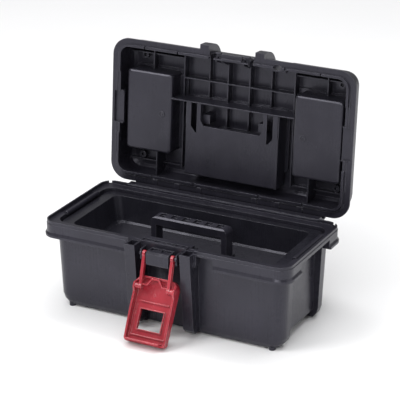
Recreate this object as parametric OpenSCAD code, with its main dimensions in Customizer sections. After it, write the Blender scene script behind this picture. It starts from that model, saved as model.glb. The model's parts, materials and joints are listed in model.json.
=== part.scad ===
// Plastic carpenter toolbox: an open tub with a lift-out tray, a deep hinged lid that holds a tool
// pocket and two small-parts bins, a folding carry handle and one over-centre front latch.
// Millimetres. +X right, +Y to the hinge side, +Z up. The origin is on the ground, under the
// middle of the open box. The lid is drawn open, and the latch hangs from the front of the tub.

/* [Tub] */
// Length over the lip of the rim band
box_len = 400; // [392:1:408]
// Depth over the lip of the rim band
box_dep = 194.4; // [192:0.2:197]
// Height of the rim above the ground
base_h = 140; // [138:1:142]
// Height of the rim band
band_h = 24.5; // [22:0.5:27]
// Corner radius of the rim
rim_r = 23; // [20:1:26]
// Wall thickness of the moulded shells
wall = 2.5; // [2.2:0.1:2.8]
// Length of the tub wall just under the rim
tub_len = 375; // [372:1:376]
// Depth of the tub wall just under the rim
tub_dep = 161; // [160:1:162]
// Length of the tub at its foot
foot_len = 364; // [360:1:366]
// Depth of the tub at its foot
foot_dep = 152; // [150:1:154]
// Radius of each round foot
foot_r = 5; // [4:0.5:6]
// Height of each round foot
foot_h = 4; // [3:0.5:5]

/* [Front columns and latch bay] */
// Distance from the middle to the inner side of a column
bay_half = 36; // [35:0.5:37]
// Width of a column
col_w = 16.5; // [15:0.5:18]
// Column front, at its top, ahead of the box middle
col_top_y = 107; // [105:0.5:109]
// Column front, at its bottom, ahead of the box middle
col_bot_y = 95.5; // [93:0.5:98]
// Column top height
col_top_z = 135; // [133:0.5:136]
// Column bottom height
col_bot_z = 15; // [12:1:18]

/* [Lid] */
// Length of the lid rim
lid_len = 399.4; // [396:0.2:401]
// Depth of the lid rim
lid_dep = 222.5; // [220:0.5:225]
// Height of the lid
lid_h = 45; // [43:1:47]
// Corner radius of the lid rim
lid_r = 27; // [24:1:30]
// How far the open lid has turned from closed, in degrees
lid_open = 94.3; // [90:0.1:100]
// How far the side walls stand in from the lid rim
lid_step = 8; // [7:0.5:9]
// Length of a small-parts bin, across the lid
bin_len = 77.5; // [74:0.5:80]
// Width of a small-parts bin, from front to back
bin_dep = 125; // [118:1:128]
// Distance from the lid middle to a bin's middle
bin_x = 139.8; // [138:0.2:141]
// Distance between the lid rim plane and the bin's inner face
bin_gap = 7; // [6:0.5:9]

/* [Hinge] */
// Diameter of the steel hinge pins
pin_d = 3.5; // [3:0.1:3.6]
// Radial clearance of the hinge pins in the turning knuckles
pin_gap = 0.08; // [0.05:0.01:0.1]
// Height of the hinge axis above the tub rim
hinge_up = 3; // [2.5:0.1:3.5]
// Distance from the hinge axis to the back edge of the closed lid
hinge_in = 6.5; // [6:0.1:7]

/* [Latch] */
// Distance between the two axes of the latch link
link_len = 47.3; // [46:0.1:48]
// Forward lean of the hanging link, in degrees
link_lean = 16; // [14:0.5:18]
// Forward lean of the hanging lever, in degrees
lever_lean = 29; // [27:0.5:31]
// Width of the lever
lever_w = 66; // [64:0.5:68]
// Depth of the lever's side walls
lever_d = 13; // [12:0.5:14]

/* [Tray] */
// Length of the tray opening
tray_len = 326; // [322:1:328]
// Depth of the tray opening
tray_dep = 132; // [128:1:133]
// Height of the tray's rim above the ground
tray_z = 130; // [129:0.5:131]
// Depth of the tray
tray_h = 40; // [36:1:44]

/* [Carry handle] */
// Distance between the middles of the two handle legs
grip_w = 92; // [88:1:96]
// Length of the legs from the pivot to the grip
grip_reach = 56; // [50:1:60]

/* [Hidden] */
$fn = 48;

// Colours
charcoal = [0.16, 0.16, 0.18];
dark = [0.12, 0.12, 0.13];
red = [0.72, 0.05, 0.10];
steel = [0.75, 0.76, 0.78];

// Derived rim sizes
rim_len = box_len - 4.4;
rim_dep = box_dep - 4;
band_z = base_h - band_h;
ledge_z = base_h - 5;
lip_h = 3.5;
skirt = 3;
cavity_len = tub_len - 2 * wall;
cavity_dep = tub_dep - 2 * wall;
floor_z = foot_h + wall;

// Side recesses and the ends of the box
recess_half = 48;
recess_x = 175;
arch_z = 15;
bay_y = 67.5;
bridge_y0 = 87.5;
bridge_top = 137;

// Latch layout: the link turns on the tub's front block, the lever on the link's lower end
block_half = 18;
block_y = 106;
block_z0 = 109;
block_z1 = 129;
ear_in = 27;
ear_t = 2.5;
link_y = -100;
link_z = 123.5;
arm_x = 22.6;
arm_t = 4.2;
joint_y = link_y - link_len * sin(link_lean);
joint_z = link_z - link_len * cos(link_lean);
axle_d = 4;
lever_len = 80;
lever_top = 16;
lever_t = 2.6;
hook_s = 75.5;
window_x = 18.7;
window_s0 = 31;
window_s1 = 60;

// Lid layout, with the lid closed: its back edge and the hinge axis
lid_back = box_dep / 2 + 25.3;
hinge_y = lid_back - hinge_in;
hinge_z = base_h + hinge_up;
lid_mid = lid_back - lid_dep / 2;
lid_top = base_h + lid_h;
flange_t = 3;
shell_len = lid_len - 2 * lid_step;
shell_dep = lid_dep - 12;
cheek_front = col_top_y + 0.5;
strike_half = 16.5;
ridge_x = 189;
ridge_y0 = -rim_dep / 2 + skirt + 0.7;
ridge_y1 = lid_back - 11;

// Hinge knuckles: the tub's and the lid's, side by side along X
ear_w = 8;
ear_pos = [46.5, 84, 121.5];
knuckle_pos = [65.2, 102.8];
knuckle_w = 27.6;
knuckle_r = 5.4;
ear_r = 4;
ear_slot_r = 4.6;
shelf_half = 159.6;
trough_r = 10.7;
hinge_pin_len = 83;

// Small-parts bins
bin_r = 7;
cover_t = 2.5;
cover_gap = 0.4;
cover_axis_x = bin_x - bin_len / 2 - 6;
cover_axis_z = lid_top - 3.2;

// Carry handle
handle_y = lid_back - 112;
handle_z = lid_top - 0.7;
grip_t = 8;
leg_w = 9;
box_half_x = 5.6;
box_half_y = 7;
well_len = 160;
well_u0 = 44;
well_u1 = 139;
well_deep = 5;

// Tool pocket inside the lid
pocket_half = 77;
pocket_face = 8;
pocket_u0 = 24;
pocket_u1 = 103;
post_u1 = 137;

// Tray
tray_flange_x = 181;
tray_flange_y = 75.5;
tray_wall = 2;
tray_y = -2.4;
tray_notch_y = -61.4;

// The origin is under the middle of the open box, this far in front of the tub's own middle plane
mid_y = 8.7;

// ---------------------------------------------------------------- shared shapes

// Rectangle with true round corners, in the XY plane
module round_rect(l, d, r) {
    square([l - 2 * r, d], center = true);
    square([l, d - 2 * r], center = true);
    for (sx = [-1, 1], sy = [-1, 1])
        translate([sx * (l / 2 - r), sy * (d / 2 - r)]) circle(r);
}

// Plate with round corners, standing on height z
module plate(l, d, r, z, h) {
    translate([0, 0, z]) linear_extrude(h) round_rect(l, d, r);
}

// Upright ring with round corners
module ring(l, d, r, t, z, h) {
    translate([0, 0, z]) linear_extrude(h) difference() {
        round_rect(l, d, r);
        round_rect(l - 2 * t, d - 2 * t, r - t);
    }
}

// Puts a sub-part in the frame of the open box
module placed() {
    translate([0, -mid_y, 0]) children();
}

// Box given by its low and high corners
module block(a, b) {
    translate(a) cube(b - a);
}

// Round bar along X, from x0 to x1
module bar_x(d, x0, x1, y, z) {
    translate([x0, y, z]) rotate([0, 90, 0]) cylinder(d = d, h = x1 - x0);
}

// Round bar along Y, from y0 to y1
module bar_y(d, y0, y1, x, z) {
    translate([x, y0, z]) rotate([-90, 0, 0]) cylinder(d = d, h = y1 - y0);
}

// Outline in the YZ plane, given as [y, z] points, made into a slab from x0 to x1
module slab_yz(points, x0, x1) {
    translate([x0, 0, 0]) rotate([90, 0, 90]) linear_extrude(x1 - x0) polygon(points);
}

// The same shape on the other side of the middle plane when side is -1
module on_side(side) {
    mirror([side < 0 ? 1 : 0, 0, 0]) children();
}

// Turns the closed lid, and what rides on it, to its open place
module on_lid() {
    translate([0, hinge_y, hinge_z]) rotate([-lid_open, 0, 0])
        translate([0, -hinge_y, -hinge_z]) children();
}

// Frame of the link: Y runs down from its upper axis, Z faces forward
module on_link() {
    translate([0, link_y, link_z]) rotate([90 - link_lean, 0, 0]) rotate([0, 0, 180]) children();
}

// Frame of the lever: Y runs from its axis to the hook, the open side faces Z
module on_lever() {
    translate([0, joint_y, joint_z]) rotate([90 - lever_lean, 0, 0]) rotate([0, 0, 180]) children();
}

// ---------------------------------------------------------------- tub

// Tapered body with a rounded foot; inset shrinks it all round for the cavity
module tub_solid(inset, z0, z1) {
    rise = z1 - z0;
    $fn = 32;
    hull() {
        plate(tub_len - 2 * inset, tub_dep - 2 * inset, 20 - inset, z1 - 0.1, 0.1);
        plate(foot_len + 1 - 2 * inset, foot_dep + 1 - 2 * inset, 18 - inset, z0 + 0.11 * rise, 0.1);
        plate(foot_len - 4 - 2 * inset, foot_dep - 2 - 2 * inset, 17 - inset, z0 + 0.05 * rise, 0.1);
        plate(foot_len - 16 - 2 * inset, foot_dep - 8 - 2 * inset, 14 - inset, z0, 0.1);
    }
}

// One side recess with its arched foot, grown by t for the inside of the wall
module side_recess(side, t) {
    half = recess_half + t;
    x_in = recess_x - t;
    on_side(side) {
        block([x_in, -half, -1], [recess_x + 40, half, band_z + 4 + t]);
        translate([0, half, 0]) rotate([90, 0, 0]) linear_extrude(2 * half)
            polygon([[x_in - 16, -1], [x_in - 16, foot_h + t - 1], [x_in + 1, arch_z + t + 3],
                [x_in + 1, -1]]);
    }
}

// The latch bay between the columns, grown by t for the inside of the wall
module latch_bay(t) {
    block([-bay_half - t, -150, -1], [bay_half + t, -bay_y + t, base_h + 1]);
}

// Body wall: outer shape less the cavity, both stepped in at the ends and at the bay
module tub_body() {
    difference() {
        tub_solid(0, foot_h, ledge_z);
        for (side = [-1, 1]) side_recess(side, 0);
        latch_bay(0);
        difference() {
            tub_solid(wall, floor_z, ledge_z + 1);
            for (side = [-1, 1]) side_recess(side, wall);
            latch_bay(wall);
        }
    }
}

// Front column, hollow and open at the top
module column(side) {
    on_side(side) difference() {
        slab_yz([[-col_top_y, col_top_z], [-col_bot_y, col_bot_z], [-col_bot_y + 6, col_bot_z - 6],
            [-74.5, col_bot_z - 6], [-79, ledge_z - 3], [-82, ledge_z], [-82, col_top_z]],
            bay_half, bay_half + col_w);
        slab_yz([[-col_top_y + wall, col_top_z + 1], [-col_bot_y + wall, col_bot_z + 8], [-81, col_bot_z + 8],
            [-81, ledge_z - 12], [-88, ledge_z - 12], [-88, col_top_z + 1]],
            bay_half + wall, bay_half + col_w - wall);
    }
}

// Oval hole for a padlock shackle, centred at y, from height z
module padlock_hole(y, z, h) {
    for (x = [72.5, 77.5]) translate([x, y, z]) cylinder(d = 7.6, h = h);
    block([72.5, y - 3.8, z], [77.5, y + 3.8, z + h]);
}

// Rim band: lip, skirt, land and the upstand that the lid closes over
module rim_band() {
    difference() {
        union() {
            ring(box_len, box_dep, rim_r, skirt + 2, band_z, lip_h);
            translate([0, 0, band_z + lip_h])
                linear_extrude(4, scale = [rim_len / box_len, rim_dep / box_dep], slices = 1) difference() {
                    round_rect(box_len, box_dep, rim_r);
                    round_rect(box_len - 10, box_dep - 10, rim_r - 5);
                }
            ring(rim_len, rim_dep, rim_r - 2, skirt, band_z + lip_h, ledge_z - band_z - lip_h);
            ring(rim_len - 1.6, rim_dep - 1.6, rim_r - 2.8, skirt - 0.8, ledge_z - 0.1,
                base_h - 0.9 - ledge_z);
            ring(rim_len - 1.6, rim_dep - 1.6, rim_r - 2.8, skirt - 0.8, base_h - 1, 0.6);
            translate([0, 0, ledge_z - wall]) linear_extrude(wall) difference() {
                round_rect(rim_len - 1, rim_dep - 1, rim_r - 3);
                round_rect(cavity_len - 1, cavity_dep - 1, 18);
            }
        }
        // the band is narrower over the side recesses and beside the right column
        for (side = [-1, 1]) on_side(side)
            block([188, -recess_half - 2, band_z - 1], [212, recess_half + 2, base_h - 10]);
        block([bay_half + col_w + 4, -110, band_z - 1], [83, -88, base_h - 8]);
        // the band gives way to the columns and the latch bay
        block([-bay_half - col_w, -110, band_z - 1], [bay_half + col_w, -bridge_y0 + 6, base_h + 1]);
        // grooves in the rim's ends
        for (side = [-1, 1]) on_side(side)
            block([190, -46, ledge_z - 1.2], [194.8, 46, base_h + 1]);
        padlock_hole(-88.4, ledge_z - wall - 1, wall + 2);
        // slots in the rear corners that the lid's ridge drops into
        for (side = [-1, 1]) on_side(side)
            block([ridge_x - 4.1, 70, base_h - 4.2], [ridge_x + 0.6, 110, base_h + 1]);
        // slots in the rear edge of the land
        for (x = [-54, 36]) block([x - 1.5, 76, ledge_z - 6], [x + 1.5, 81, ledge_z + 1]);
    }
}

// Rounded roll on each end of the land
module side_roll(side) {
    on_side(side) difference() {
        bar_y(7.2, -46, 46, 185.2, ledge_z - 0.5);
        block([170, -50, 120], [tub_len / 2 - wall, 50, ledge_z - wall]);
    }
}

// Bridge over the latch bay: open cells, the front block and its two thin ears
module latch_bridge() {
    pitch = 33;
    cell = pitch - 2;
    block([-bay_half - 3, -bridge_y0 + 5, ledge_z - wall], [bay_half + 3, -bay_y + wall, ledge_z]);
    difference() {
        block([-bay_half - 1, -bridge_y0, block_z1 - 6], [bay_half + 1, -77, bridge_top]);
        for (i = [-1, 0, 1])
            intersection() {
                block([i * pitch - cell / 2, -bridge_y0 + 2, block_z1 - 3.5],
                    [i * pitch + cell / 2, -79, bridge_top + 1]);
                block([-bay_half + 1, -90, 100], [bay_half - 1, -70, 160]);
            }
    }
    difference() {
        union() {
            block([-block_half, -block_y + 1.2, block_z0], [block_half, -bridge_y0 + 1, block_z1 - 1.2]);
            block([-block_half, -block_y, block_z0 + 1.2], [block_half, -bridge_y0 + 1, block_z1 - 2.4]);
            block([-block_half, -block_y + 2.4, block_z0], [block_half, -bridge_y0 + 1, block_z1]);
        }
        block([-block_half + 2.2, -98.5, block_z1 - 2.6], [-1, -bridge_y0 - 1.8, block_z1 + 1]);
        block([1, -98.5, block_z1 - 2.6], [block_half - 2.2, -bridge_y0 - 1.8, block_z1 + 1]);
        bar_x(axle_d, -block_half - 1, block_half + 1, link_y, link_z);
    }
    for (side = [-1, 1]) on_side(side) difference() {
        union() {
            block([ear_in, link_y - 1.5, link_z - 9], [ear_in + ear_t, -bridge_y0 + 1, block_z1 + 1]);
            bar_x(7, ear_in, ear_in + ear_t, link_y, link_z);
        }
        bar_x(axle_d, ear_in - 1, ear_in + ear_t + 1, link_y, link_z);
    }
}

// Shelf at the back with a trough under the hinge, and the ears that hold the hinge pins
module hinge_ears() {
    difference() {
        slab_yz([[rim_dep / 2 - 4, ledge_z - 6], [hinge_y - 6, ledge_z - 6], [hinge_y + 6.4, ledge_z - 3.6],
            [hinge_y + 6.4, ledge_z + 1.6], [hinge_y - 6, ledge_z + 3.4], [rim_dep / 2 - 4, ledge_z + 3.4]],
            -shelf_half, shelf_half);
        bar_x(2 * trough_r, -shelf_half - 1, shelf_half + 1, hinge_y, hinge_z);
    }
    for (side = [-1, 1], x = ear_pos) on_side(side) difference() {
        union() {
            block([x - ear_w / 2, hinge_y - ear_r, ledge_z - 3], [x + ear_w / 2, hinge_y + ear_r, hinge_z]);
            bar_x(2 * ear_r, x - ear_w / 2, x + ear_w / 2, hinge_y, hinge_z);
        }
        bar_x(pin_d, x - ear_w, x + ear_w, hinge_y, hinge_z);
    }
    // gussets under the shelf
    for (side = [-1, 1], x = [20, 46.5, 84, 121.5, 152]) on_side(side)
        slab_yz([[rim_dep / 2 - 1, ledge_z - 18], [rim_dep / 2 - 1, ledge_z - 5], [hinge_y + 2, ledge_z - 5],
            [hinge_y - 6, ledge_z - 8]], x - 1.2, x + 1.2);
}

module base_tub() {
    color(charcoal) placed() {
        tub_body();
        rim_band();
        for (side = [-1, 1]) {
            column(side);
            side_roll(side);
        }
        // closing walls where the band is cut
        for (side = [-1, 1], y = [-recess_half - 3.2, recess_half + 1.4]) on_side(side)
            block([187, y, band_z + 0.2], [rim_len / 2 - 0.2, y + 1.8, base_h - 9]);
        block([83, -rim_dep / 2 + 0.2, band_z + 0.2], [84.8, -86, base_h - 7]);
        // padlock guard beside the right column
        block([bay_half + col_w - 1, -rim_dep / 2 + 0.4, base_h - 23],
            [bay_half + col_w + 4, -79, base_h - 7]);
        latch_bridge();
        hinge_ears();
        for (sx = [-1, 1], sy = [-1, 1])
            translate([sx * 164, sy * 68, 0]) cylinder(r = foot_r, h = foot_h + 1);
    }
}

// ---------------------------------------------------------------- lid, drawn closed, then opened

// Rounded body of the lid about its own middle; inset shrinks it for the inside
module lid_dome(inset, z0, z1) {
    $fn = 32;
    translate([0, lid_mid, 0]) hull() {
        plate(shell_len - 2 * inset, shell_dep - 2 * inset, lid_r - 6 - inset, z0, 0.1);
        plate(shell_len - 5 - 2 * inset, shell_dep - 4 - 2 * inset, lid_r - 7 - inset, z1 - 10, 0.1);
        plate(shell_len - 9 - 2 * inset, shell_dep - 8 - 2 * inset, lid_r - 8 - inset, z1 - 4, 0.1);
        plate(shell_len - 18 - 2 * inset, shell_dep - 17 - 2 * inset, lid_r - 11 - inset, z1 - 0.1, 0.1);
    }
}

// Skin of the lid with its rim flange
module lid_skin() {
    difference() {
        union() {
            translate([0, lid_mid, 0]) plate(lid_len, lid_dep, lid_r, base_h, flange_t);
            lid_dome(0, base_h + flange_t - 0.1, lid_top);
        }
        lid_dome(wall, base_h + flange_t, lid_top - wall);
        ridge_ring(7, base_h - 1, flange_t + 1.2);
    }
}

// Plate on the outline of the lid's ridge, less g in length and depth
module ridge_ring(g, z, h) {
    translate([0, (ridge_y0 + ridge_y1) / 2, 0])
        plate(2 * ridge_x - g, ridge_y1 - ridge_y0 - g, 18 - g / 2, z, h);
}

// Ridge that runs round the rim and drops inside the tub's upstand
module lid_ridge() {
    y0 = ridge_y0;
    y1 = ridge_y1;
    difference() {
        union() {
            difference() {
                ridge_ring(0, base_h - 3.5, 4);
                ridge_ring(7, base_h - 5, 7);
            }
            difference() {
                ridge_ring(-6, base_h - 1.4, 2);
                ridge_ring(-3.4, base_h - 5, 7);
                block([-250, -150, base_h - 6], [250, -60, base_h + 3]);
                block([-250, 80, base_h - 6], [250, 98, base_h + 3]);
            }
        }
        // room over the rolls, and drain notches
        for (side = [-1, 1]) on_side(side) {
            block([170, -48, base_h - 5], [200, 48, base_h - 1]);
            for (x = [54.5, 126]) block([x - 1.2, y1 - 6, base_h - 5], [x + 1.2, y1 + 1, base_h - 0.01]);
            for (x = [88, 144]) block([x - 1.2, y0 - 1, base_h - 5], [x + 1.2, y0 + 5, base_h - 0.01]);
        }
    }
}

// Well for the folded carry handle, seen from outside; t grows it for the inside
module handle_well(t) {
    translate([0, lid_back - (well_u0 + well_u1) / 2, lid_top - well_deep - t]) linear_extrude(30)
        round_rect(well_len + 2 * t, well_u1 - well_u0 + 2 * t, 9 + t);
}

// Room for the fingers under the folded grip
module finger_well(t) {
    translate([0, handle_y + 34, lid_top - well_deep - 9 - t]) linear_extrude(30)
        round_rect(72 + 2 * t, 36 + 2 * t, 8 + t);
}

// Storage well for one small-parts bin; t grows it for the inside
module bin_well(side, t) {
    translate([side * bin_x, handle_y, base_h + bin_gap + wall - t]) linear_extrude(lid_h + 10)
        round_rect(bin_len - 2 * wall + 2 * t, bin_dep - 2 * wall + 2 * t, 4 + t);
}

// Outside of a bin as seen from inside the lid, with its face eased all round
module bin_box(side) {
    ease = 7;
    rest = 2.4;
    translate([side * bin_x, handle_y, base_h + bin_gap]) {
        linear_extrude(1.2, slices = 1,
            scale = [(bin_len - rest) / (bin_len - ease), (bin_dep - rest) / (bin_dep - ease)])
                round_rect(bin_len - ease, bin_dep - ease, 4);
        translate([0, 0, 1.2])
            linear_extrude(2.6, scale = [bin_len / (bin_len - rest), bin_dep / (bin_dep - rest)], slices = 1)
                round_rect(bin_len - rest, bin_dep - rest, 5.6);
        translate([0, 0, 3.8]) linear_extrude(lid_h) round_rect(bin_len, bin_dep, 6.5);
    }
}

// Seat for a bin cover and trough for its hinge
module cover_seat(side) {
    on_side(side) {
        translate([bin_x + 0.3, handle_y, lid_top - cover_t - 0.4]) linear_extrude(20)
            round_rect(bin_len + 1.4, bin_dep + 1, 7);
        block([cover_axis_x - 4.6, handle_y - 54, cover_axis_z - 4],
            [cover_axis_x + 8.5, handle_y + 54, lid_top + 1]);
        block([cover_axis_x + 2, handle_y - bin_dep / 2 - 1, lid_top - cover_t - 0.4],
            [cover_axis_x + 20, handle_y + bin_dep / 2 + 1, lid_top + 1]);
    }
}

// Recess in the front wall behind the padlock eye, so a shackle passes; t grows it for the inside
module eye_recess(t) {
    block([57 - t, -110, base_h + 6 - t], [84 + t, -85.4 + t, lid_top + 10]);
}

// Cheek beside the latch, carrying on the line of the column below
module cheek(side) {
    r = 31;
    x0 = bay_half + 2;
    on_side(side) intersection() {
        union() {
            block([x0, -cheek_front, base_h], [bay_half + col_w, -80, base_h + 14]);
            block([x0, -cheek_front + r, base_h], [bay_half + col_w, -60, lid_top + 1]);
            bar_x(2 * r, x0, bay_half + col_w, -cheek_front + r, base_h + 13.5);
        }
        block([0, -120, base_h], [100, -66, lid_top - 0.6]);
    }
}

// Both cheeks, kept out of the lid's cavity
module cheeks() {
    difference() {
        for (side = [-1, 1]) cheek(side);
        lid_dome(wall, base_h - 1, lid_top - wall);
    }
}

// One rib across the lid's depth, at x, from u0 to u1 off the back edge
module rib_y(x, u0, u1, deep) {
    block([x - 0.9, lid_back - u1, base_h + deep], [x + 0.9, lid_back - u0, lid_top - 1]);
}

// One rib along the lid's length, at u off the back edge
module rib_x(u, x0, x1, deep) {
    block([x0, lid_back - u - 0.9, base_h + deep], [x1, lid_back - u + 0.9, lid_top - 1]);
}

// Ribs on the inside of the lid
module lid_ribs() {
    for (side = [-1, 1]) on_side(side) {
        rib_y(18, 100, 216, 28);
        rib_y(51.5, 141, 214, 33);
        rib_y(91.5, 26, 214, 28);
        rib_y(144, 172, 214, 28);
        rib_y(127, 9, 51, 13);
        rib_x(197, 92, 184, 31);
        // gussets beside the strike
        slab_yz([[-92, base_h + 4], [-84, base_h + 4], [-76, base_h + 24], [-76, lid_top - 1],
            [-92, lid_top - 1]], strike_half + 0.4, strike_half + 2);
        slab_yz([[-92, base_h + 3], [-84, base_h + 3], [-78, base_h + 22], [-78, lid_top - 1],
            [-92, lid_top - 1]], bay_half - 10, bay_half - 8.4);
        rib_x(27, 92, 184, 33);
    }
    rib_x(168, -92, 92, 28);
    rib_x(138, -102, 102, 7);
}

// Hollow bearing boxes for the carry handle's pivots; the slots open to the outside
module handle_boxes() {
    for (side = [-1, 1]) on_side(side)
        block([grip_w / 2 - box_half_x, handle_y - box_half_y, lid_top - 28],
            [grip_w / 2 + box_half_x, handle_y + box_half_y, lid_top - well_deep - 1]);
}

module handle_slots() {
    for (side = [-1, 1]) on_side(side)
        block([grip_w / 2 - box_half_x + 1.6, handle_y - box_half_y + 1.6, lid_top - 26],
            [grip_w / 2 + box_half_x - 1.6, handle_y + box_half_y - 1.6, lid_top + 1]);
}

// Lugs that stand in the well and hold the handle pins
module handle_lugs() {
    for (side = [-1, 1], s2 = [-1, 1]) {
        x = side * grip_w / 2 + s2 * (leg_w / 2 + 2.6);
        difference() {
            union() {
                bar_x(9, x - 2, x + 2, handle_y, handle_z);
                block([x - 2, handle_y - 4.5, lid_top - well_deep - 1], [x + 2, handle_y + 4.5, handle_z]);
            }
            bar_x(pin_d, x - 3, x + 3, handle_y, handle_z);
        }
    }
}

// Cut-outs in the rim and the front wall for the latch, and slots for the tub's hinge ears
module lid_cuts() {
    for (side = [-1, 1]) on_side(side) {
        block([strike_half, -130, base_h - 5], [bay_half + 0.5, -93, base_h + 24]);
        block([strike_half, -130, base_h - 5], [bay_half + 0.5, -90, base_h + 6]);
        // opening between the strike and the cheek
        block([28.4, -130, base_h - 5], [bay_half + 0.5, -86.5, base_h + 30]);
        for (x = ear_pos)
            block([x - ear_w / 2 - 0.5, hinge_y - ear_slot_r, base_h - 6],
                [x + ear_w / 2 + 0.5, lid_back + 1, hinge_z + ear_slot_r]);
    }
    // recesses over the blocks at the ends of the rim
    for (side = [-1, 1]) on_side(side)
        block([180, lid_back - 139, base_h - 6], [196, lid_back - 90, base_h + 4]);
    block([-strike_half - 1, -130, base_h - 5], [strike_half + 1, -97.5, base_h + 12]);
    block([-28, -130, base_h + 11], [28, -86, base_h + 19]);
}

// Small hooks beside the strike
module strike_hooks() {
    for (side = [-1, 1]) on_side(side) {
        block([19.5, -98.2, base_h + 6], [27.5, -91.8, base_h + 7.6]);
        block([19.5, -98.2, base_h + 1.5], [27.5, -96.8, base_h + 7.6]);
    }
}

// Knuckles between the tub's ears
module lid_knuckles() {
    for (side = [-1, 1], x = knuckle_pos) on_side(side) {
        intersection() {
            bar_x(2 * knuckle_r, x - knuckle_w / 2, x + knuckle_w / 2, hinge_y, hinge_z);
            block([x - 20, hinge_y - 8, base_h], [x + 20, hinge_y + 8, hinge_z + 8]);
        }
        slab_yz([[hinge_y - 5, base_h + 0.2], [lid_back - 0.4, base_h + 0.2], [hinge_y + 3.5, hinge_z + 4.6],
            [hinge_y - 0.6, hinge_z + 11], [hinge_y - 2, hinge_z + 11]],
            x - knuckle_w / 2, x + knuckle_w / 2);
    }
}

// Inner features of the lid that the wells are then cut into
module lid_bulk() {
    lid_skin();
    intersection() {
        union() {
            handle_well(wall);
            finger_well(wall);
            eye_recess(wall);
            lid_ribs();
            for (side = [-1, 1]) {
                bin_box(side);
                // collar under the cover's seat
                on_side(side) translate([bin_x + 0.3, handle_y, lid_top - 5.4]) linear_extrude(5)
                    round_rect(bin_len + 6, bin_dep + 6, 9);
                on_side(side) block([cover_axis_x - 7, handle_y - 57, cover_axis_z - 6.2],
                    [cover_axis_x + 9, handle_y + 57, lid_top]);
                on_side(side) block([cover_axis_x, handle_y - bin_dep / 2 - 3, lid_top - 5.4],
                    [cover_axis_x + 16, handle_y + bin_dep / 2 + 3, lid_top]);
            }
        }
        lid_dome(0.6, base_h, lid_top);
    }
    handle_boxes();
    lid_ridge();
    cheeks();
    for (side = [-1, 1]) {
        on_side(side) {
            // blocks at the ends of the rim, corner bosses and the gate mark of the bin
            block([181.5, lid_back - 140.5, base_h + 0.5], [197.5, lid_back - 88.5, base_h + 9]);
            for (u = [33.5, 192]) translate([163, lid_back - u, base_h + 35]) difference() {
                cylinder(r = 5.5, h = 8.5);
                translate([0, 0, -1]) cylinder(r = 2.6, h = 6);
            }
            translate([117, lid_back - 111, base_h + bin_gap - 1.2]) {
                difference() {
                    cylinder(r = 4.6, h = 2);
                    translate([0, 0, -1]) cylinder(r = 3.5, h = 1.9);
                }
                translate([0, 0, 0.4]) cylinder(r = 1.3, h = 1);
            }
        }
    }
}

// Lugs that hold the bin cover's pin
module cover_lugs(side) {
    on_side(side) for (c = [[-50, -40.4], [-19.6, 19.6], [40.4, 50]]) difference() {
        union() {
            bar_y(5.6, handle_y + c[0], handle_y + c[1], cover_axis_x, cover_axis_z);
            block([cover_axis_x - 2.8, handle_y + c[0], cover_axis_z - 5],
                [cover_axis_x + 2.8, handle_y + c[1], cover_axis_z]);
        }
        bar_y(2.5, handle_y - 60, handle_y + 60, cover_axis_x, cover_axis_z);
    }
}

module lid_shell() {
    color(charcoal) placed() on_lid() difference() {
        union() {
            difference() {
                lid_bulk();
                lid_cuts();
                handle_well(0);
                finger_well(0);
                eye_recess(0);
                handle_slots();
                for (side = [-1, 1]) {
                    bin_well(side, 0);
                    cover_seat(side);
                }
                padlock_hole(-89.8, base_h - 5, 12);
            }
            difference() {
                union() {
                    for (x = [72, 78]) translate([x, -91.5, base_h]) cylinder(r = 7.5, h = 6);
                    block([72, -99, base_h], [78, -84, base_h + 6]);
                }
                padlock_hole(-89.8, base_h - 1, 20);
            }
            lid_knuckles();
            handle_lugs();
            strike_hooks();
            for (side = [-1, 1]) cover_lugs(side);
        }
        for (side = [-1, 1]) on_side(side)
            bar_x(pin_d + 2 * pin_gap, 84 - 38, 84 + 38, hinge_y, hinge_z);
    }
}

// Tool pocket: a face panel with side walls and posts, open towards the front edge of the lid
module lid_pocket() {
    z0 = base_h + pocket_face;
    back_z = lid_top - well_deep - wall;
    y_low = lid_back - pocket_u0;
    y_rim = lid_back - pocket_u1;
    y_end = lid_back - post_u1;
    color(charcoal) placed() on_lid() {
        // face, lower wall and side walls
        difference() {
            block([-pocket_half, y_rim, z0], [pocket_half, y_low, z0 + 2.4]);
            for (side = [-1, 1]) translate([side * pocket_half, y_rim, z0]) rotate([0, 45, 0])
                cube([2.4, 400, 2.4], center = true);
            translate([0, y_low, z0]) rotate([45, 0, 0]) cube([400, 2.4, 2.4], center = true);
            for (side = [-1, 1]) on_side(side) translate([0, 0, z0 - 1]) linear_extrude(5)
                polygon([[58, y_rim - 1], [68, y_rim - 1], [68, y_rim + 3], [60, y_rim + 12],
                    [58, y_rim + 12]]);
        }
        block([-pocket_half, y_low - 2.4, z0 + 1.7], [pocket_half, y_low, back_z]);
        block([-53, y_rim, z0], [53, y_rim + 2, z0 + 6]);
        for (side = [-1, 1]) on_side(side) {
            block([pocket_half - 2.4, y_end, z0 + 1.7], [pocket_half, y_low, back_z]);
            // paired posts and their gussets
            block([68, y_end, z0], [pocket_half - 1.7, y_rim + 1, z0 + 2.4]);
            block([52, y_end, z0], [58, y_rim + 1, z0 + 2.4]);
            block([52, y_end, z0], [54, y_rim + 1, z0 + 12]);
            translate([0, 0, z0]) linear_extrude(2.4)
                polygon([[54, y_rim + 1], [54, y_rim - 11], [46, y_rim + 1]]);
        }
    }
}

// ---------------------------------------------------------------- hinge pins

module hinge_pin(side) {
    bar_x(pin_d, side * 84 - hinge_pin_len / 2, side * 84 + hinge_pin_len / 2, hinge_y, hinge_z);
}

module hinge_pin_left() {
    color(steel) placed() hinge_pin(-1);
}

module hinge_pin_right() {
    color(steel) placed() hinge_pin(1);
}

// ---------------------------------------------------------------- latch

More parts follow.
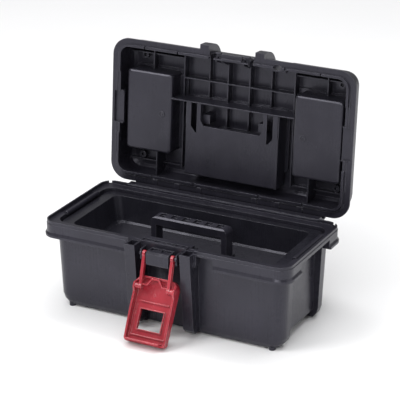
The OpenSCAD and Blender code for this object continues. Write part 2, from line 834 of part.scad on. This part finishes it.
// One arm of the link, with an eye at each end and a groove on its outer side
module link_arm(side) {
    x0 = arm_x - arm_t / 2;
    x1 = arm_x + arm_t / 2;
    on_side(side) difference() {
        union() {
            block([x0, 0, -3.2], [x1, link_len, 3.2]);
            bar_x(9.6, x0, x1, 0, 0);
            bar_x(9, x0, x1, link_len, 0);
        }
        block([x1 - 1.6, 7, -1.8], [x1 + 1, link_len - 7, 1.8]);
        bar_x(axle_d + 2 * pin_gap, x0 - 1, x1 + 1, 0, 0);
        bar_x(axle_d + 2 * pin_gap, x0 - 1, x1 + 1, link_len, 0);
    }
}

module latch_link() {
    x0 = arm_x - arm_t / 2 + 0.5;
    low = 42.6;
    high = 33;
    color(red) placed() on_link() {
        for (side = [-1, 1]) link_arm(side);
        // thin spring bar between the arms
        translate([0, 0, -2.2]) linear_extrude(4.4) polygon([[-x0, low], [-12.5, low], [-6, high], [6, high],
            [12.5, low], [x0, low], [x0, low + 1.8], [11.6, low + 1.8], [5, high + 2], [-5, high + 2],
            [-11.6, low + 1.8], [-x0, low + 1.8]]);
    }
}

// Plan outline of the lever, drawn g inside its edge
module lever_outline(g) {
    w = lever_w / 2 - g;
    r0 = 13 - g;
    r1 = 6 - g;
    top = -lever_top + g;
    tail = lever_len - g;
    translate([-w, top + r0]) square([2 * w, tail - r1 - top - r0]);
    translate([-w + r0, top]) square([2 * w - 2 * r0, r0 + 1]);
    translate([-w + r1, tail - r1 - 1]) square([2 * w - 2 * r1, r1 + 1]);
    for (sx = [-1, 1]) {
        translate([sx * (w - r0), top + r0]) circle(r0);
        translate([sx * (w - r1), tail - r1]) circle(r1);
    }
}

module latch_lever() {
    out = -lever_d - 1;
    floor_t = out + lever_t;
    color(red) placed() on_lever() {
        difference() {
            translate([0, 0, out]) linear_extrude(20) lever_outline(0);
            translate([0, 0, floor_t]) linear_extrude(20) lever_outline(lever_t);
            // top line of the side walls: a shoulder at the pivot, lower towards the hook
            slab_yz([[-40, -2], [-10, -2], [-7, 0], [-3.6, 4.6], [3.6, 4.6], [9, 0], [34, -0.6],
                [72, -3.4], [100, -3.4], [100, 30], [-40, 30]], -60, 60);
            block([-window_x, window_s0, out - 1], [window_x, window_s1, floor_t + 5]);
            bar_x(axle_d, -40, 40, 0, 0);
            // eased outer edge at the tail
            slab_yz([[lever_len - 3, out - 1], [lever_len + 1, out - 1], [lever_len + 1, out + 3]], -60, 60);
        }
        // pivot bosses
        for (side = [-1, 1]) on_side(side) difference() {
            bar_x(8.4, arm_x + arm_t / 2 + 0.5, lever_w / 2 - 1, 0, 0);
            bar_x(axle_d, 20, 40, 0, 0);
        }
        // rim round the window, step frame, cross rib and gate mark
        difference() {
            block([-20, window_s0 - 1.3, out], [20, window_s1 + 1.3, out + 6]);
            block([-window_x, window_s0, out - 1], [window_x, window_s1, out + 10]);
        }
        for (side = [-1, 1]) on_side(side) block([26, 24, out], [27.4, 70, floor_t + 1.2]);
        block([-27, 68.6, out], [27, 70, floor_t + 3]);
        block([-24, 19.3, out], [24, 20.7, floor_t + 4]);
        translate([3, 9, out]) cylinder(r = 2, h = lever_t + 0.8);
        // hook that grips over the lid's strike
        block([-26.7, hook_s, out], [26.7, lever_len - 2.5, 4]);
        bar_x(3.4, -26.7, 26.7, lever_len - 3.4, 4.2);
    }
}

module latch_axle() {
    color(charcoal) placed() bar_x(axle_d, -ear_in - ear_t, ear_in + ear_t, link_y, link_z);
}

module lever_pin(side) {
    on_side(side) bar_x(axle_d, arm_x - arm_t / 2, lever_w / 2, joint_y, joint_z);
}

module lever_pin_left() {
    color(red) placed() lever_pin(-1);
}

module lever_pin_right() {
    color(red) placed() lever_pin(1);
}

// ---------------------------------------------------------------- carry handle and bin covers

module carry_handle() {
    half = grip_w / 2;
    bar_c = handle_y + grip_reach;
    color(charcoal) placed() on_lid() difference() {
        union() {
            for (side = [-1, 1]) on_side(side) {
                block([half - leg_w / 2, handle_y, handle_z - grip_t / 2],
                    [half + leg_w / 2, bar_c, handle_z + grip_t / 2]);
                bar_x(grip_t, half - leg_w / 2, half + leg_w / 2, handle_y, handle_z);
                translate([half - leg_w / 2, bar_c, handle_z - grip_t / 2]) cylinder(r = leg_w, h = grip_t);
            }
            block([-half + leg_w / 2, bar_c - 10, handle_z - grip_t / 2],
                [half - leg_w / 2, bar_c + leg_w, handle_z + grip_t / 2]);
            bar_x(grip_t, -half + 12, half - 12, bar_c, handle_z);
        }
        bar_x(pin_d + 2 * pin_gap, -80, 80, handle_y, handle_z);
        // relief pockets under the grip
        for (i = [-2:2])
            block([i * 14 - 5.5, bar_c - 7, handle_z - grip_t], [i * 14 + 5.5, bar_c + 7, handle_z - 1]);
    }
}

module handle_pin(side) {
    half = leg_w / 2 + 4.6;
    on_lid() bar_x(pin_d, side * grip_w / 2 - half, side * grip_w / 2 + half, handle_y, handle_z);
}

module handle_pin_left() {
    color(steel) placed() handle_pin(-1);
}

module handle_pin_right() {
    color(steel) placed() handle_pin(1);
}

// Flat cover of a bin with hinge knuckles, an inner rim and a finger lip
module bin_cover(side) {
    zt = lid_top - cover_t;
    on_lid() on_side(side) difference() {
        union() {
            translate([bin_x + 0.3, handle_y, zt]) linear_extrude(cover_t)
                round_rect(bin_len + 0.6, bin_dep + 0.2, 6.6);
            ring_at(bin_x, handle_y, bin_len - 2 * wall - 1, bin_dep - 2 * wall - 1, 3.5, 1.8, zt - 4, 4.5);
            for (c = [-40, 20]) {
                bar_y(5.6, handle_y + c, handle_y + c + 20, cover_axis_x, cover_axis_z);
                block([cover_axis_x, handle_y + c, cover_axis_z],
                    [cover_axis_x + 8, handle_y + c + 20, lid_top - 0.4]);
            }
        }
        for (c = [-40, 20])
            bar_y(2.5 + 2 * pin_gap, handle_y + c - 1, handle_y + c + 21, cover_axis_x, cover_axis_z);
        // finger notch at the outer edge
        translate([bin_x + bin_len / 2 + 4, handle_y, zt - 1]) cylinder(r = 9, h = 10);
    }
}

module ring_at(x, y, l, d, r, t, z, h) {
    translate([x, y, 0]) ring(l, d, r, t, z, h);
}

module bin_cover_left() {
    color(dark) placed() bin_cover(-1);
}

module bin_cover_right() {
    color(dark) placed() bin_cover(1);
}

module cover_pin(side) {
    on_lid() on_side(side) bar_y(2.5, handle_y - 50, handle_y + 50, cover_axis_x, cover_axis_z);
}

module cover_pin_left() {
    color(steel) placed() cover_pin(-1);
}

module cover_pin_right() {
    color(steel) placed() cover_pin(1);
}

// ---------------------------------------------------------------- tray

// Tray basin with its notch for the latch bay; inset shrinks it for the inside
module tray_basin(inset, z0, z1) {
    $fn = 32;
    difference() {
        hull() {
            translate([0, tray_y, 0])
                plate(tray_len - 2 * inset, tray_dep - 2 * inset, 12 - inset, z1 - 0.1, 0.1);
            translate([0, tray_y + 1.5, 0]) {
                plate(tray_len - 16 - 2 * inset, tray_dep - 15 - 2 * inset, 11 - inset, z0 + 3, 0.1);
                plate(tray_len - 20 - 2 * inset, tray_dep - 19 - 2 * inset, 10 - inset, z0, 0.1);
            }
        }
        block([-bay_half - 6 - inset, -100, z0 - 5], [bay_half + 6 + inset, tray_notch_y + inset, z1 + 5]);
    }
}

module tray() {
    color(dark) placed() difference() {
        union() {
            difference() {
                union() {
                    difference() {
                        union() {
                            plate(2 * tray_flange_x, 2 * tray_flange_y, 15, tray_z - tray_wall, tray_wall);
                            ring(2 * tray_flange_x, 2 * tray_flange_y, 15, tray_wall, tray_z - 7.6, 6);
                        }
                        block([-bay_half - 4, -100, tray_z - 12], [bay_half + 4, -63.4, tray_z + 1]);
                    }
                    tray_basin(-tray_wall, tray_z - tray_h - tray_wall, tray_z);
                }
                tray_basin(0, tray_z - tray_h, tray_z + 0.2);
            }
            // seats for the handle's feet
            for (side = [-1, 1]) on_side(side) difference() {
                block([51, -12.5, tray_z - tray_h - 0.5], [64.5, 12.5, tray_z - tray_h + 7]);
                block([53, -10.6, tray_z - tray_h], [62.4, 10.6, tray_z - tray_h + 8]);
            }
        }
    }
}

// Arched handle that stands in the tray, with six openings in its top
module tray_handle() {
    z0 = tray_z - tray_h + 0.1;
    top = 141;
    color(charcoal) placed() difference() {
        union() {
            for (side = [-1, 1]) on_side(side)
                block([53.3, -10.4, z0], [61.8, 10.4, top - 8]);
            block([-53.5, -10.4, top - 12.5], [53.5, 10.4, top]);
            for (side = [-1, 1]) on_side(side) intersection() {
                bar_y(17, -10.4, 10.4, 53.3, top - 8.5);
                block([40, -12, top - 12.5], [80, 12, top + 1]);
            }
        }
        // eased long edges
        for (y = [-10.4, 10.4]) translate([0, y, top]) rotate([45, 0, 0])
            cube([200, 3.2, 3.2], center = true);
        for (i = [0:5]) {
            block([(i - 2.5) * 18.6 - 5, -6.5, top - 3], [(i - 2.5) * 18.6 + 5, 6.5, top + 1]);
            block([(i - 2.5) * 18.6 - 3.4, -4.5, top - 14], [(i - 2.5) * 18.6 + 3.4, 4.5, top - 1.5]);
        }
    }
}

base_tub();
lid_shell();
lid_pocket();
hinge_pin_left();
hinge_pin_right();
latch_link();
latch_lever();
latch_axle();
lever_pin_left();
lever_pin_right();
carry_handle();
handle_pin_left();
handle_pin_right();
bin_cover_left();
bin_cover_right();
cover_pin_left();
cover_pin_right();
tray();
tray_handle();
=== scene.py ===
"""Looks for the plastic carpenter toolbox: moulded plastics, pins, floor, lights and camera.

Lengths are in metres and angles in degrees. Texture scales are in waves or cells per metre.
"""

import json
import math

import bpy
from mathutils import Matrix, Vector

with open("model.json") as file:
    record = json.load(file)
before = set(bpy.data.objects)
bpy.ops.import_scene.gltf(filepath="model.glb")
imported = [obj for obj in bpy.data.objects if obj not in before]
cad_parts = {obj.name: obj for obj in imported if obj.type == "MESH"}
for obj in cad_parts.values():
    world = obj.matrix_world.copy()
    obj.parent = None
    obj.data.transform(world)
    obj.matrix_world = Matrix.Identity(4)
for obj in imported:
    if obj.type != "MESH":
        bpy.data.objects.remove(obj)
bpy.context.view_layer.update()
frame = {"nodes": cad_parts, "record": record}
NODES = frame["nodes"]

SHADER_SAMPLES = 6  # rays of each bevel and ambient occlusion node

# plastic: grain of the mould
PITS = 1500.0
FINE_GRAIN = 3100.0
DRAW_LINES = (420, 420, 7)
DRAW_LINE_DEPTH = 0.000003
# plastic: clouding and flow lines in the colour, and slow waves in the surface
CLOUDS = 11.0
FLOW_LINES = (46, 46, 9)
FLOW_TURN = (0.0, 0.5, 0.3)
SINK_WAVES = 21.0
SINK_DEPTH = 0.00014
# plastic: rounded edges, and the lighter colour painted along them, partly wear and partly a
# painted highlight
ROUND_EDGE = 0.0007
WEAR_AND_HIGHLIGHT_RADIUS = 0.0010
CORNER_REACH = 0.007
CHIPS = 420.0
WORN_SPOTS = 24.0
# plastic: scratches, as a turn and a stretched scale for each direction
SCRATCH_SETS = (
    ((0.3, 0.9, 0.2), (2600, 38, 2600)),
    ((1.1, 0.2, 1.4), (2200, 2200, 30)),
    ((0.5, 2.0, 0.7), (34, 2400, 2400)),
)
SCRATCH_PATCHES = 17.0
SCRATCH_AMOUNT = 0.55
SCRATCH_DEPTH = 0.00001
# plastic: lint and a thin film of dust on what faces up, and patches of gloss
LINT = 330.0
LINT_PATCHES = 60.0
DUST_FILM = 38.0
DUST_COLOUR = (0.30, 0.29, 0.28, 1.0)
GLOSS_PATCHES = 31.0
COOL_GLOSS = (0.88, 0.87, 1.0, 1.0)
# wire: lines along its length, and brown spots
WIRE_LINES = (60, 5200, 5200)
WIRE_LINE_DEPTH = 0.000008
WIRE_EDGE = 0.0003
WIRE_DARK = (0.46, 0.46, 0.47, 1)
WIRE_LIGHT = (0.66, 0.66, 0.67, 1)
WIRE_SPOTS = 260.0
WIRE_SPOT_COLOUR = (0.22, 0.15, 0.10, 1)
# floor
FLOOR_HALF = 20.0
FLOOR_CLOUDS = 3.0
FLOOR_DARK = (0.86, 0.86, 0.87, 1)
FLOOR_LIGHT = (0.9, 0.9, 0.905, 1)
# camera, fitted to the photo about the middle of the tub, at floor height
TUB_Y = -0.0087
CAMERA_AZIMUTH = 27.28
CAMERA_ELEVATION = 21.77
CAMERA_RIGHT = 0.01241
CAMERA_UP = 0.1612
CAMERA_BACK = 2.75759
LENS_MM = 167.3
SENSOR_MM = 36.0
CLIP_START, CLIP_END = 0.05, 60.0
# lights: name, azimuth, elevation, distance, width and height, power in watts
LIGHT_AIM = (0, 0, 0.15)
LIGHTS = (
    ("key", -40, 46, 2.4, (1.0, 1.0), 24),
    ("front", 12, 29, 3.2, (1.8, 1.1), 34),
    ("fill", 100, 26, 3.2, (2.0, 1.6), 12),
    ("rim", 170, 72, 2.4, (2.4, 0.6), 20),
    ("ceiling", 0, 89, 6.0, (7.0, 7.0), 265),
)
SKY_COLOUR = (1.0, 1.0, 1.0, 1.0)
SKY_STRENGTH = 0.27

# ---------------------------------------------------------------- small node helpers


class Tree:
    """A material's node tree with short calls for the nodes that the finishes share."""

    def __init__(self, name):
        self.material = bpy.data.materials.new(name)
        self.material.use_nodes = True
        self.tree = self.material.node_tree
        self.tree.nodes.clear()
        self.place = self.add("ShaderNodeTexCoord").outputs["Object"]
        self.geometry = self.add("ShaderNodeNewGeometry")

    def add(self, kind, ins=None, **props):
        made = self.tree.nodes.new(kind)
        for key, value in props.items():
            setattr(made, key, value)
        for key, value in (ins or {}).items():
            self.feed(value, made.inputs[key])
        return made

    def feed(self, value, socket):
        if isinstance(value, bpy.types.NodeSocket):
            self.tree.links.new(value, socket)
        else:
            socket.default_value = value

    def math(self, operation, a, b=0.0, clamp=False):
        made = self.add("ShaderNodeMath", {0: a, 1: b}, operation=operation)
        made.use_clamp = clamp
        return made.outputs[0]

    def ramp(self, value, low, high, out_low=0.0, out_high=1.0):
        """value from low..high to out_low..out_high, smoothly, and flat outside."""
        ins = {"Value": value, "From Min": low, "From Max": high}
        ins.update({"To Min": out_low, "To Max": out_high})
        made = self.add("ShaderNodeMapRange", ins, interpolation_type="SMOOTHSTEP")
        return made.outputs["Result"]

    def times(self, a, b, clamp=False):
        return self.math("MULTIPLY", a, b, clamp)

    def plus(self, a, b, clamp=False):
        return self.math("ADD", a, b, clamp)

    def stretched(self, scale, turn=(0.0, 0.0, 0.0)):
        return self.add(
            "ShaderNodeMapping", {"Vector": self.place, "Scale": scale, "Rotation": turn}
        ).outputs["Vector"]

    def noise(self, scale, detail=2.0, rough=0.5, vector=None, distort=0.0):
        return self.add(
            "ShaderNodeTexNoise",
            {
                "Vector": vector or self.place,
                "Scale": scale,
                "Detail": detail,
                "Roughness": rough,
                "Distortion": distort,
            },
        ).outputs["Fac"]

    def cells(self, scale, feature="F1"):
        return self.add(
            "ShaderNodeTexVoronoi", {"Vector": self.place, "Scale": scale}, feature=feature
        ).outputs["Distance"]

    def mix(self, share, a, b):
        made = self.add("ShaderNodeMix", data_type="RGBA")
        self.feed(share, made.inputs["Factor"])
        self.feed(a, made.inputs["A"])
        self.feed(b, made.inputs["B"])
        return made.outputs["Result"]

    def bump(self, height, depth, normal):
        ins = {"Height": height, "Distance": depth, "Strength": 1.0, "Normal": normal}
        return self.add("ShaderNodeBump", ins).outputs["Normal"]

    def bevel(self, radius):
        made = self.add("ShaderNodeBevel", {"Radius": radius})
        made.samples = SHADER_SAMPLES
        return made.outputs["Normal"]

    def edges(self, radius, low, high):
        """High on edges and creases: where a rounded normal leaves the flat one."""
        dot = self.add(
            "ShaderNodeVectorMath",
            {0: self.bevel(radius), 1: self.geometry.outputs["Normal"]},
            operation="DOT_PRODUCT",
        ).outputs["Value"]
        return self.ramp(self.math("SUBTRACT", 1.0, dot), low, high)

    def open_air(self, distance, low, high):
        """High out in the open, low down in corners and between ribs."""
        made = self.add("ShaderNodeAmbientOcclusion", {"Distance": distance})
        made.samples = SHADER_SAMPLES
        return self.ramp(made.outputs["AO"], low, high)

    def finish(self, **constants):
        """The shader; constants such as specular level go straight on its own sockets."""
        shader = self.add("ShaderNodeBsdfPrincipled")
        out = self.add("ShaderNodeOutputMaterial")
        self.tree.links.new(shader.outputs["BSDF"], out.inputs["Surface"])
        for key, value in constants.items():
            self.feed(value, shader.inputs[key.replace("_", " ")])
        return self.material


# ---------------------------------------------------------------- finishes


def scratches(t):
    """Fine handling scratches in three directions, as a share from 0 to 1."""
    total = None
    for turn, scale in SCRATCH_SETS:
        fine = t.noise(1.0, 1.0, 0.4, t.stretched(scale, turn))
        line = t.ramp(fine, 0.70, 0.76)
        total = line if total is None else t.math("MAXIMUM", total, line)
    patches = t.ramp(t.noise(SCRATCH_PATCHES, 3.0), 0.48, 0.66)
    return t.times(t.times(total, patches), SCRATCH_AMOUNT)


def moulded(name, dark, light, worn_and_highlight_colour, rough, wear_and_highlight, grain_depth, dust, **constants):
    """Injection-moulded plastic: sink waves, spark-eroded grain, gloss patches, worn edges with a
    painted highlight.
    """
    t = Tree(name)
    # colour: slow clouding and faint flow lines
    cloud = t.noise(CLOUDS, 4.0, 0.55, distort=0.6)
    flow = t.noise(1.0, 2.0, 0.5, t.stretched(FLOW_LINES, FLOW_TURN))
    shade = t.ramp(t.plus(t.times(cloud, 0.65), t.times(flow, 0.35)), 0.32, 0.7)
    colour = t.mix(shade, dark, light)
    # grain of the mould, and lines along the way it opens
    pits = t.cells(PITS, feature="SMOOTH_F1")
    fine = t.noise(FINE_GRAIN, 2.0, 0.6)
    grain = t.plus(t.times(pits, 0.6), t.times(fine, 0.7))
    draw = t.noise(1.0, 2.0, 0.45, t.stretched(DRAW_LINES))
    # wear and painted highlight: open edges made lighter in chips and spots, and scratches
    chips = t.ramp(t.noise(CHIPS, 4.0, 0.65), 0.42, 0.62)
    spots = t.ramp(t.noise(WORN_SPOTS, 2.0), 0.36, 0.6)
    open_air = t.open_air(CORNER_REACH, 0.35, 0.8)
    edge_wear_and_highlight = t.times(t.edges(WEAR_AND_HIGHLIGHT_RADIUS, 0.03, 0.18), open_air)
    edge_wear_and_highlight = t.times(edge_wear_and_highlight, t.times(t.plus(chips, 0.35), t.plus(spots, 0.25)))
    edge_wear_and_highlight = t.times(edge_wear_and_highlight, wear_and_highlight, clamp=True)
    lines = scratches(t)
    # edges and scratches take the lighter colour; on edges it is partly wear and partly a painted
    # highlight
    colour = t.mix(t.times(edge_wear_and_highlight, 0.55), colour, worn_and_highlight_colour)
    colour = t.mix(t.times(lines, 0.3), colour, worn_and_highlight_colour)
    # dust: lint and a film on what faces up
    up = t.add("ShaderNodeSeparateXYZ", {0: t.geometry.outputs["Normal"]}).outputs["Z"]
    specks = t.ramp(t.cells(LINT), 0.16, 0.05)
    lint = t.times(specks, t.ramp(t.noise(LINT_PATCHES, 1.0), 0.55, 0.7))
    film = t.times(t.ramp(t.noise(DUST_FILM, 5.0, 0.6), 0.4, 0.75), 0.14)
    settled = t.times(t.plus(lint, film), t.ramp(up, 0.55, 1.0))
    settled = t.times(settled, dust, clamp=True)
    colour = t.mix(settled, colour, DUST_COLOUR)
    # gloss: slow patches, fine grain, draw lines, polished edges, dull scratches and dust
    gloss = t.ramp(t.noise(GLOSS_PATCHES, 4.0, 0.6), 0.3, 0.7, -0.03, 0.035)
    gloss = t.plus(gloss, t.ramp(fine, 0.3, 0.7, -0.03, 0.03))
    gloss = t.plus(gloss, t.ramp(draw, 0.35, 0.65, -0.01, 0.01))
    for cause, amount in ((edge_wear_and_highlight, -0.07), (lines, 0.12), (settled, 0.35)):
        gloss = t.plus(gloss, t.times(cause, amount))
    roughness = t.plus(gloss, rough, clamp=True)
    # surface: rounded edges, sink waves, draw lines, grain and scratches
    normal = t.bevel(ROUND_EDGE)
    normal = t.bump(t.noise(SINK_WAVES, 2.0, 0.4), SINK_DEPTH, normal)
    normal = t.bump(draw, DRAW_LINE_DEPTH, normal)
    normal = t.bump(grain, grain_depth, normal)
    normal = t.bump(t.math("SUBTRACT", 1.0, lines), SCRATCH_DEPTH, normal)
    return t.finish(Base_Color=colour, Roughness=roughness, Normal=normal, **constants)


def drawn_wire(name):
    """Bright drawn steel wire: lengthwise lines, soft spots and a little brown in places."""
    t = Tree(name)
    lines = t.noise(1.0, 3.0, 0.6, t.stretched(WIRE_LINES))
    spots = t.ramp(t.noise(WIRE_SPOTS, 4.0, 0.7), 0.56, 0.74)
    colour = t.mix(t.ramp(lines, 0.3, 0.7), WIRE_DARK, WIRE_LIGHT)
    colour = t.mix(t.times(spots, 0.45), colour, WIRE_SPOT_COLOUR)
    rough = t.plus(t.ramp(lines, 0.3, 0.7, 0.24, 0.4), t.times(spots, 0.25), clamp=True)
    normal = t.bump(lines, WIRE_LINE_DEPTH, t.bevel(WIRE_EDGE))
    return t.finish(Base_Color=colour, Roughness=rough, Normal=normal, Metallic=1.0)


charcoal = moulded(
    "charcoal_plastic",
    dark=(0.0108, 0.0102, 0.0150, 1.0),
    light=(0.0182, 0.0172, 0.0244, 1.0),
    # the worn colour and the wear strength below paint edges lighter: partly wear, partly a painted
    # highlight
    worn_and_highlight_colour=(0.135, 0.135, 0.155, 1.0),
    rough=0.30,
    wear_and_highlight=2.4,
    grain_depth=0.000016,
    dust=0.05,
    Specular_IOR_Level=0.5,
    Specular_Tint=COOL_GLOSS,
)
black = moulded(
    "dark_plastic",
    dark=(0.0070, 0.0068, 0.0100, 1.0),
    light=(0.0115, 0.0112, 0.0160, 1.0),
    # the worn colour and the wear strength below paint edges lighter: partly wear, partly a painted
    # highlight
    worn_and_highlight_colour=(0.085, 0.085, 0.094, 1.0),
    rough=0.29,
    wear_and_highlight=1.7,
    grain_depth=0.000012,
    dust=0.05,
    Specular_IOR_Level=0.5,
    Specular_Tint=COOL_GLOSS,
)
red = moulded(
    "red_plastic",
    dark=(0.30, 0.014, 0.027, 1.0),
    light=(0.43, 0.034, 0.052, 1.0),
    # the pale pink worn colour and the wear strength below paint edges lighter: partly wear, partly
    # a painted highlight
    worn_and_highlight_colour=(0.74, 0.30, 0.32, 1.0),
    rough=0.24,
    wear_and_highlight=2.4,
    grain_depth=0.000006,
    dust=0.03,
    Specular_IOR_Level=0.6,
    Subsurface_Weight=0.12,
    Subsurface_Radius=(0.0012, 0.0004, 0.0003),
    Subsurface_Scale=1.0,
)
wire = drawn_wire("pin_steel")

FINISH = {
    "charcoal_plastic": charcoal,
    "dark_plastic": black,
    "red_plastic": red,
    "pin_steel": wire,
}
for part in frame["record"]["subparts"]:
    node = NODES[part["node"]]
    node.data.materials.clear()
    node.data.materials.append(FINISH[part["material_slot"]])

# ---------------------------------------------------------------- floor, light, camera


def direction(azimuth, elevation):
    """Unit vector from the box to what looks at it; azimuth 0 looks along +Y."""
    a, e = math.radians(azimuth), math.radians(elevation)
    return Vector((math.sin(a) * math.cos(e), -math.cos(a) * math.cos(e), math.sin(e)))


def floor():
    """Wide pale paper floor at height 0."""
    mesh = bpy.data.meshes.new("floor")
    corners = [(x * FLOOR_HALF, y * FLOOR_HALF, 0) for x, y in ((-1, -1), (1, -1), (1, 1), (-1, 1))]
    mesh.from_pydata(corners, [], [(0, 1, 2, 3)])
    made = bpy.data.objects.new("floor", mesh)
    bpy.context.scene.collection.objects.link(made)
    t = Tree("floor_paper")
    tone = t.mix(t.noise(FLOOR_CLOUDS, 3.0), FLOOR_DARK, FLOOR_LIGHT)
    mesh.materials.append(t.finish(Base_Color=tone, Roughness=0.7, Specular_IOR_Level=0.2))


def softbox(name, azimuth, elevation, distance, size, power):
    """An area light that faces the box."""
    back = direction(azimuth, elevation)
    data = bpy.data.lights.new(name, "AREA")
    data.shape = "RECTANGLE"
    data.size, data.size_y = size
    data.energy = power
    made = bpy.data.objects.new(name, data)
    made.location = Vector(LIGHT_AIM) + back * distance
    made.rotation_euler = back.to_track_quat("Z", "Y").to_euler()
    bpy.context.scene.collection.objects.link(made)


def camera():
    """The main view, with everything in focus."""
    back = direction(CAMERA_AZIMUTH, CAMERA_ELEVATION)
    azimuth = math.radians(CAMERA_AZIMUTH)
    right = Vector((math.cos(azimuth), math.sin(azimuth), 0))
    up = back.cross(right)
    data = bpy.data.cameras.new("camera")
    data.lens = LENS_MM
    data.sensor_width = SENSOR_MM
    data.clip_start, data.clip_end = CLIP_START, CLIP_END
    made = bpy.data.objects.new("camera", data)
    place = right * CAMERA_RIGHT + up * CAMERA_UP + back * CAMERA_BACK + Vector((0, TUB_Y, 0))
    axes = Matrix((right, up, back)).transposed().to_4x4()
    made.matrix_world = Matrix.Translation(place) @ axes
    bpy.context.scene.collection.objects.link(made)
    bpy.context.scene.camera = made


floor()
camera()
for light in LIGHTS:
    softbox(*light)

world = bpy.data.worlds.new("studio")
world.use_nodes = True
sky = world.node_tree.nodes["Background"]
sky.inputs["Color"].default_value = SKY_COLOUR
sky.inputs["Strength"].default_value = SKY_STRENGTH
bpy.context.scene.world = world
bpy.context.scene.view_settings.view_transform = "Standard"
